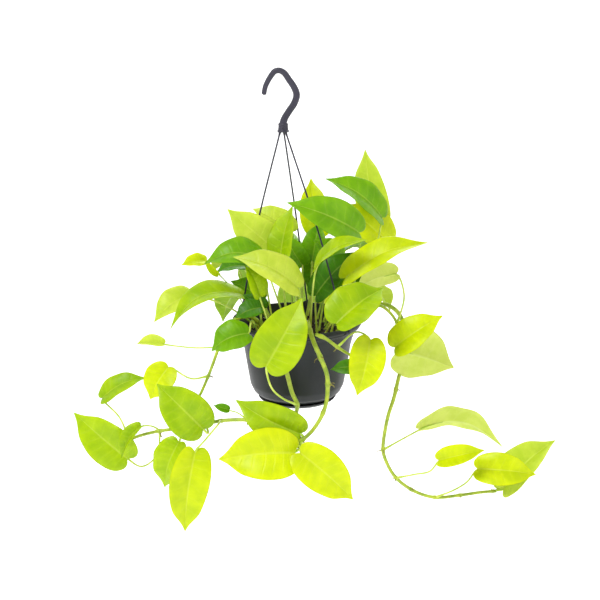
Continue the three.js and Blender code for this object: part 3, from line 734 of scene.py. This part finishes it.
class Blade:
    """One blade's shape: the layout's plain surface, with the growth of a real leaf on it."""

    def __init__(self, base, tip, face, width, bend, fold, seed):
        self.start = Vector(base)
        reach = Vector(tip) - self.start
        self.length, self.width, self.bend = reach.length, width, bend
        self.along = reach.normalized()
        self.side = self.along.cross(Vector(face)).normalized()
        self.normal = self.side.cross(self.along)
        self.lift = math.radians(fold + EXTRA_FOLD)
        draw = random.Random(seed)
        self.phase = [draw.uniform(0, 2 * math.pi) for _ in range(4)]
        self.ripple = draw.uniform(0.012, 0.03) * width
        self.waves = draw.uniform(2.2, 3.6)
        self.camber = draw.uniform(0.03, 0.08) * width
        self.tip_curl = draw.uniform(0.02, 0.07) * self.length
        self.sway = draw.uniform(-0.03, 0.03) * self.length

    def plain(self, x, q, depth):
        arch = 4 * self.bend * x * (1 - x) * self.length
        half = self.width / 2 * q
        return (self.start + self.along * (x * self.length) + self.side * (half * math.cos(self.lift))
                + self.normal * (arch + abs(half) * math.sin(self.lift) - depth))

    def at(self, t, q, depth):
        """A point on row t, at q across from margin (-1) to margin (1)."""
        x = lean(vein_root(t), outline_along(t), abs(q))
        hand = 1 if q > 0 else -1
        margin = abs(q) ** 3 * smooth_step(0.0, 0.2, t) * (1 - smooth_step(0.8, 1.0, t))
        wave = math.sin(self.waves * 2 * math.pi * t + self.phase[0 if hand > 0 else 1])
        rise = self.ripple * wave * margin
        rise += self.camber * 4 * abs(q) * (1 - abs(q)) * (1 - t) ** 0.5 * outline_side(t)
        rise -= self.tip_curl * smooth_step(0.7, 1.0, t)
        beat = (VEINS * t) % 1.0
        groove = math.exp(-(((beat - 0.5) / 0.16) ** 2)) * (1 - abs(q) ** 2) * min(1.0, 5 * abs(q))
        rise -= VEIN_GROOVE * groove * smooth_step(0.0, 0.1, t) * (1 - t)
        rise -= MIDRIB_GROOVE * math.exp(-((q / 0.07) ** 2)) * (1 - t)
        shift = self.sway * math.sin(math.pi * min(x, 1.0)) if x > 0 else 0.0
        nip = 1 - 0.6 * smooth_step(0.76, 1.0, t)
        point = self.plain(x, q * outline_side(t) * nip, depth - rise)
        return point + self.side * shift


def add_blade(solid, blade):
    """The blade as a thin closed skin, with its upper and lower sides in two materials."""
    rows = BLADE_ROWS
    columns = BLADE_COLUMNS
    rims = []
    for i in range(rows + 1):
        t = lean(0.014, 0.985, (i / rows) ** 1.12)
        ring, marks = [], []
        for lower in (False, True):
            order = range(columns + 1) if not lower else range(columns - 1, 0, -1)
            for j in order:
                s = 2 * j / columns - 1
                q = math.copysign(abs(s) ** 1.15, s)
                thick = BLADE_THICKNESS * (1 - 0.6 * abs(q) ** 4)
                depth = CAD_THICKNESS / 2 + (thick / 2 if lower else -thick / 2)
                if abs(q) > 0.999:
                    depth = CAD_THICKNESS / 2
                if lower:
                    depth += MIDRIB_KEEL * math.exp(-((q / 0.09) ** 2)) * (1 - t) ** 0.7
                ring.append(blade.at(t, q, depth))
                marks.append((t, 0.5 + 0.5 * q))
        rims.append((ring, marks))
    count = len(rims[0][0])
    middle = CAD_THICKNESS / 2
    corners = [blade.at(0.004, 0.0, middle), *(p for ring, _ in rims for p in ring),
               blade.at(1.0, 0.0, middle)]
    coords = [(0.0, 0.5), *(m for _, marks in rims for m in marks), (1.0, 0.5)]
    last = len(corners) - 1
    upper = [face for k in range(columns) for face in strip(k, count, rows + 1, last)]
    under = [face for k in range(columns, count) for face in strip(k, count, rows + 1, last)]
    solid.add(corners, upper + under, [0] * len(upper) + [1] * len(under), coords)


def add_stalk(solid, blade, grows_on, stalk, slim):
    """The stalk, from its foot to where it fades out under the blade's midrib."""
    points = [Vector(p) for p in stalk]
    if grows_on == "soil":
        points[0] = points[0] + upward(-4)
    points += [blade.plain(share, 0, depth) for share, depth in STALK_UNDER_BLADE]
    path = Path(points)
    joint = 1 - 0.3 * blade.length / path.length

    def radius(share):
        sheath = SHEATH_RADIUS * math.exp(-((share * path.length / SHEATH_REACH) ** 2))
        knee = KNEE_RADIUS * math.exp(-(((share - joint) * path.length / KNEE_REACH) ** 2))
        fade = 1 - 0.62 * smooth_step(joint, 1.0, share)
        return slim * (STALK_RADIUS * fade + sheath + knee)

    def channel(turn, share):
        """A shallow groove along one side, which fades towards the blade."""
        off_top = min(abs(turn), abs(2 * math.pi - turn))
        return 1 - 0.14 * math.exp(-((off_top / 0.45) ** 2)) * (1 - share)

    steps = max(14, int(path.length / 4))
    solid.add_rod(path, radius, STALK_SIDES, steps, kind=2, shape=channel)


def make_leaf(row, seed, materials, replaced):
    name, grows_on, stalk, base, tip, face, width, bend, fold, look = row
    blade = Blade(base, tip, face, width, bend, fold, seed)
    solid = Solid()
    add_blade(solid, blade)
    slim = next(share for limit, share in SLIM_STALKS if width < limit)
    add_stalk(solid, blade, grows_on, stalk, slim)
    tone = random.Random(seed + TONE_SEED).uniform(*LEAF_TONES)
    upper, lower = materials[look]
    solid.finish(name, [upper, lower, materials["stalk"]],
                 replaces=[name] if replaced else (), smooth=1, tone=tone)


# ---------------- stems


def make_stem(name, radius, points, materials, seed):
    draw = random.Random(seed)
    line = [Vector(p) for p in points]
    line[0] = line[0] + upward(-7) if line[0].z < SOIL_Z + 8 else line[0]
    path = Path(line)
    joints = [path.nearest(stalk[0]) for _, on, stalk, *_ in LEAVES if on == name]
    spare = [share for share in SPARE_NODES
             if all(abs(share - j) * path.length > NODE_GAP for j in joints)]
    joints += spare

    def reach(share):
        """The radius, which tapers to the free end, swells at nodes and has a ring beyond each."""
        swell = sum(0.30 * math.exp(-(((share - j) * path.length / 2.6) ** 2)) for j in joints)
        ring = sum(0.10 * math.exp(-(((share - j) * path.length - 3.4) / 0.7) ** 2) for j in joints)
        return STEM_GROWTH * radius * (1.02 - 0.3 * share) * (1 + min(swell, 0.34) + ring)

    def ridges(turn, share):
        return 1 + 0.035 * math.cos(5 * turn + 3 * share)

    solid = Solid()
    steps = int(path.length / STEM_STEP)
    solid.add_rod(path, reach, STEM_SIDES, steps, shape=ridges)
    for j in joints:
        if j * path.length < ROOTS_FROM:
            continue
        for _ in range(draw.choice((1, 1, 2))):
            add_root(solid, path, j, reach(j), draw)
    solid.finish(name, [materials["stem"], materials["root"]], replaces=[name],
                 tone=draw.uniform(-0.3, 0.4))


def add_root(solid, path, share, reach, draw):
    """An aerial root: a short stub that bends down from the underside of a node."""
    along = path.direction(share)
    out = Vector((draw.uniform(-1, 1), draw.uniform(-1, 1), draw.uniform(-0.9, 0.1)))
    out = (out - along * out.dot(along)).normalized()
    start = path.at(share) + out * (0.5 * reach)
    long = draw.uniform(2.0, 4.6)
    bend = start + out * (reach + 0.5 * long)
    end = bend + out * (0.35 * long) + upward(-0.35 * long) + along * draw.uniform(-1, 1)
    thick = draw.uniform(0.65, 0.95)
    root = Path([start, bend, end])
    solid.add_rod(root, lambda s: thick * (1 - 0.45 * s), 7, 8, kind=1)


# ---------------- pot, soil, hanger


def make_pot(materials):
    wall = 2.4
    height = RIM_Z - BASE_Z
    outer = [(38, 0.0), (46, 1.5), (53, 7), (57, 16), (61, 40), (65, 66), (69, 80), (70.2, 84.2),
             (71.6, 84.4), (72, 86), (75.5, 87), (76, 90), (77.6, 90.8), (78, 92), (78, height - 1.2),
             (77, height)]
    inner = [(75, height), (74.2, height - 1.4), (73.4, height - 4), (72.6, height - 6),
             (69.4, height - 10), (66.4, height - 16), (62.4, 66), (58.4, 40), (54.4, 16),
             (50.4, 7), (44, wall + 0.6), (38, wall)]
    foot = [(0, 1.4), (30, 1.4), (31, 0.4), (36, 0.2)]
    profile = foot + outer + inner + [(0, wall)]
    solid = Solid()
    solid.add_turned(fillet(profile, 1.6), Vector((POT_X, 0, BASE_Z)), TURNED_SIDES)
    for degrees in STRAND_ANGLES:
        add_lug(solid, degrees)
    solid.finish("hanging_pot", [materials["pot"]], replaces=["pot"], sharp=50)


def add_lug(solid, degrees):
    """A thickened pad on the rim where a strand hooks in."""
    out, _ = spoke(degrees)
    centre = Vector((POT_X, 0, 0)) + out * LUG_RADIUS
    heights = ((-7, 0.7), (-6.4, 0.95), (-0.5, 1.0), (0.7, 0.96), (1.2, 0.75))
    levels = [(RIM_Z + height, grow) for height, grow in heights]
    solid.add_pad(centre, degrees, 6.5, 2.2, 0.5, 20, levels)


def make_saucer(materials):
    high = BASE_Z - SAUCER_Z
    profile = [(0, 0.6), (32, 0.6), (33, 0), (41, 0), (43, 0.3), (46.4, 2.8), (47.3, high - 0.8),
               (47.6, high - 0.3), (46.6, high - 0.25), (45.6, high - 0.9), (41.5, 2.0), (36, 1.9),
               (0, 1.9)]
    solid = Solid()
    solid.add_turned(fillet(profile, 0.9), Vector((POT_X, 0, SAUCER_Z)), TURNED_SIDES)
    solid.finish("saucer", [materials["pot"]], replaces=["drip_saucer"], sharp=50)


def make_soil(materials):
    """The soil: plain sides, a lumpy top, and loose crumbs lying in it."""
    solid = Solid()
    low = SOIL_LOW.z / MM
    rings = []
    side_steps = [(42, low), (49, low + 6), (54, low + 16), (58, low + 40),
                  (SOIL_RADIUS - 0.8, SOIL_Z - 9), (SOIL_RADIUS, SOIL_Z - 3)]
    turns = [2 * math.pi * k / SOIL_SIDES for k in range(SOIL_SIDES)]
    for radius, z in side_steps:
        rings.append([Vector((POT_X + radius * math.cos(turn), radius * math.sin(turn), z))
                      for turn in turns])
    for i in range(SOIL_RINGS, 0, -1):
        radius = SOIL_RADIUS * i / SOIL_RINGS
        ring = []
        for turn in turns:
            x = POT_X + radius * math.cos(turn)
            y = radius * math.sin(turn)
            lump = noise.noise(Vector((x, y, 3.0)) * 0.07) * 2.2
            lump += noise.noise(Vector((x, y, 9.0)) * 0.35) * 1.1
            lump += noise.noise(Vector((x, y, 21.0)) * 0.9) * 0.5
            ring.append(Vector((x, y, SOIL_Z - 0.8 + lump - 1.2 * (i == SOIL_RINGS))))
        rings.append(ring)
    solid.add_loft(rings)
    draw = random.Random(SOIL_SEED)
    for _ in range(CRUMBS):
        add_crumb(solid, draw)
    solid.finish("soil_bed", [materials["soil"], materials["bark"], materials["perlite"]],
                 replaces=["soil"], sharp=60)


def add_crumb(solid, draw):
    """A lump of peat, a chip of bark or a grain of perlite lying in the surface."""
    turn = draw.uniform(0, 2 * math.pi)
    radius = (SOIL_RADIUS - 3) * math.sqrt(draw.random())
    peat, bark, perlite = 0, 1, 2
    kind = draw.choices((peat, bark, perlite), (0.72, 0.18, 0.10))[0]
    size = draw.uniform(0.8, 2.3) if kind != bark else draw.uniform(1.2, 3.2)
    centre = Vector((POT_X + radius * math.cos(turn), radius * math.sin(turn),
                     SOIL_Z - 0.6 + draw.uniform(-0.3, 0.9)))
    flat = 0.45 if kind == bark else 0.8
    narrow = 0.55 if kind == bark else 1
    spin = draw.uniform(0, 2 * math.pi)
    rings = []
    for level in (-0.75, -0.3, 0.3, 0.75):
        ring = []
        for k in range(7):
            a = 2 * math.pi * k / 7 + spin
            reach = size * math.sqrt(1 - level ** 2) * draw.uniform(0.75, 1.2)
            ring.append(centre + Vector((reach * math.cos(a), reach * math.sin(a) * narrow,
                                         size * flat * level)))
        rings.append(ring)
    solid.add_loft(rings, kind)


HOOK_LINE = [(-18, -23), (-16, -14), (-10, -3), (-5, 2.6), (0, 3.4), (5, 1), (11, -7), (17, -16),
             (19.5, -24), (17, -33), (11, -42), (6, -50), (4, -56), (4, -61)]
HOOK_ROD = 4.2


def make_hook(materials):
    path = Path([(x, 0, z) for x, z in HOOK_LINE])

    def radius(share):
        """Thinner towards the free tip, and a little thicker near the boss."""
        taper = 0.72 + 0.28 * min(1.0, share * 1.6)
        return HOOK_ROD * taper * (1 + 0.1 * smooth_step(0.86, 0.98, share))

    def section(turn, share):
        """Flattened sides with a slight parting ridge along the middle of each edge."""
        c, s = math.cos(turn), math.sin(turn)
        squared = (abs(c) ** 3 + abs(s) ** 3) ** (-1 / 3)
        ridge = 0.05 * math.exp(-((s / 0.12) ** 2))
        return squared * (0.9 + 0.1 * abs(s)) + ridge

    solid = Solid()
    solid.add_rod(path, radius, 28, 110, shape=section)
    boss = [(0, -5.5), (4.6, -5.5), (6.9, -4.9), (7.2, -3.6), (6.0, -2.6), (5.6, 2.4), (5.9, 3.2),
            (5.6, 4.4), (4.6, 5.5), (0, 5.5)]
    solid.add_turned(fillet(boss, 0.8), BOSS, 40)
    for degrees in STRAND_ANGLES:
        out, _ = spoke(degrees)
        socket = Path([BOSS + out * 4.4 + upward(-3),
                       BOSS + out * 4.2 + upward(-6.4)])
        solid.add_rod(socket, lambda s: 1.9 - 0.4 * s, 14, 5)
    button = Path([BOSS + Vector((-0.5, -4.8, 0.2)), BOSS + Vector((-0.5, -6.4, 0.2))])
    solid.add_rod(button, lambda s: 1.9 - 0.5 * s * s, 16, 4)
    solid.finish("hook", [materials["hanger"]], replaces=["hanger_hook"],
                 sharp=55)


def make_strand(number, degrees, materials):
    """A thin moulded rod from the boss to the rim, with a flat clip and a tongue over the rim."""
    out, _ = spoke(degrees)
    start = BOSS + out * 4 + upward(-5.4)
    end = Vector((POT_X, 0, RIM_Z + 2)) + out * CLIP_RADIUS
    middle = start.lerp(end, 0.5) + out * 4
    path = Path([start, middle, end])

    def radius(share):
        return 0.95 + 0.5 * (1 - smooth_step(0.0, 0.02, share)) + 0.35 * smooth_step(0.985, 1.0, share)

    def ribbed(angle, _share):
        return 1 + 0.07 * math.cos(2 * angle)

    solid = Solid()
    solid.add_rod(path, radius, 12, 90, shape=ribbed)
    centre = Vector((POT_X, 0, RIM_Z - 1.5)) + out * CLIP_RADIUS
    levels = ((-5.4, 0.55), (-4.9, 0.9), (-2, 1.0), (3.4, 1.0), (4.6, 0.9), (5.2, 0.6))
    solid.add_pad(centre, degrees, 3.4, 1.0, 0.55, 18, levels)
    tongue = Path([centre + upward(3.6), centre + out * 3.5 + upward(4.6),
                   centre + out * 6.6 + upward(3.0), centre + out * 7.6 + upward(-2.5)])
    solid.add_rod(tongue, lambda s: 1.25 - 0.3 * s, 12, 14)
    solid.finish(f"strand_{number}", [materials["hanger"]],
                 replaces=[f"hanger_strand_{number}"], sharp=55)


# ---------------- stage, light, camera


WORLD_STRENGTH = 0.55
FLOOR_GLOW = 0.45
LIGHT_TARGET = (0.02, 0, -0.25)
# Name, place in metres, size in metres, power in watts
LIGHTS = (
    ("key", (-1.1, -1.6, 1.7), 1.1, 52),
    ("fill", (1.8, -1.5, 0.5), 1.6, 9),
    ("back", (0.4, 1.7, 1.1), 1.4, 18),
)


def make_stage():
    """A pale floor that sweeps up behind into a backdrop, in metres."""
    floor_z, back, front, width, bend, top = -0.95, 2.6, -6.0, 7.0, 1.2, 4.5
    steps = 12
    line = [(front, floor_z), (back - bend, floor_z)]
    for i in range(1, steps + 1):
        turn = math.pi / 2 * i / steps
        line.append((back - bend + bend * math.sin(turn), floor_z + bend * (1 - math.cos(turn))))
    line.append((back, top))
    corners = [(x, y, z) for y, z in line for x in (-width, width)]
    faces = [(2 * i, 2 * i + 1, 2 * i + 3, 2 * i + 2) for i in range(len(line) - 1)]
    mesh = bpy.data.meshes.new("floor")
    mesh.from_pydata(corners, [], faces)
    for polygon in mesh.polygons:
        polygon.use_smooth = True
    n = Nodes("pale_floor")
    mesh.materials.append(n.show(n.surface(srgb(250, 250, 250), 0.9, Emission_Color=(1, 1, 1, 1),
                                           Emission_Strength=FLOOR_GLOW)))
    floor = bpy.data.objects.new("floor", mesh)
    bpy.context.collection.objects.link(floor)


def add_light(name, place, size, power):
    lamp = bpy.data.lights.new(name, "AREA")
    lamp.shape, lamp.size, lamp.energy = "DISK", size, power
    light = bpy.data.objects.new(name, lamp)
    light.location = place
    light.rotation_euler = (Vector(LIGHT_TARGET) - Vector(place)).to_track_quat("-Z", "Y").to_euler()
    bpy.context.collection.objects.link(light)


def make_lights():
    world = bpy.data.worlds.new("studio")
    world.use_nodes = True
    background = world.node_tree.nodes["Background"]
    background.inputs["Color"].default_value = (1, 1, 1, 1)
    background.inputs["Strength"].default_value = WORLD_STRENGTH
    bpy.context.scene.world = world
    for row in LIGHTS:
        add_light(*row)


CAMERA_TARGET = Vector((23.4, 0, -266.2))
CAMERA_RISE = 14
CAMERA_DISTANCE = 1300
CAMERA_LENS = 65
CAMERA_SENSOR = 36


def make_camera():
    rise = math.radians(CAMERA_RISE)
    place = CAMERA_TARGET + CAMERA_DISTANCE * Vector((0, -math.cos(rise), math.sin(rise)))
    camera = bpy.data.objects.new("camera", bpy.data.cameras.new("camera"))
    camera.data.lens = CAMERA_LENS
    camera.data.sensor_width = CAMERA_SENSOR
    camera.location = place * MM
    camera.rotation_euler = (CAMERA_TARGET - place).to_track_quat("-Z", "Y").to_euler()
    bpy.context.collection.objects.link(camera)
    bpy.context.scene.camera = camera


# ---------------- the whole plant

make_camera()
materials = make_materials()
make_pot(materials)
make_saucer(materials)
make_soil(materials)
make_hook(materials)
for number, degrees in enumerate(STRAND_ANGLES, 1):
    make_strand(number, degrees, materials)
for seed, (name, (radius, points)) in enumerate(STEMS.items()):
    make_stem(name, radius, points, materials, STEM_SEED + seed)
for seed, row in enumerate(LEAVES):
    make_leaf(row, LEAF_SEED + seed, materials, replaced=True)
for seed, row in enumerate(EXTRA_LEAVES):
    make_leaf(row, EXTRA_SEED + seed, materials, replaced=False)
make_stage()
make_lights()
bpy.context.scene.view_settings.view_transform = "Standard"
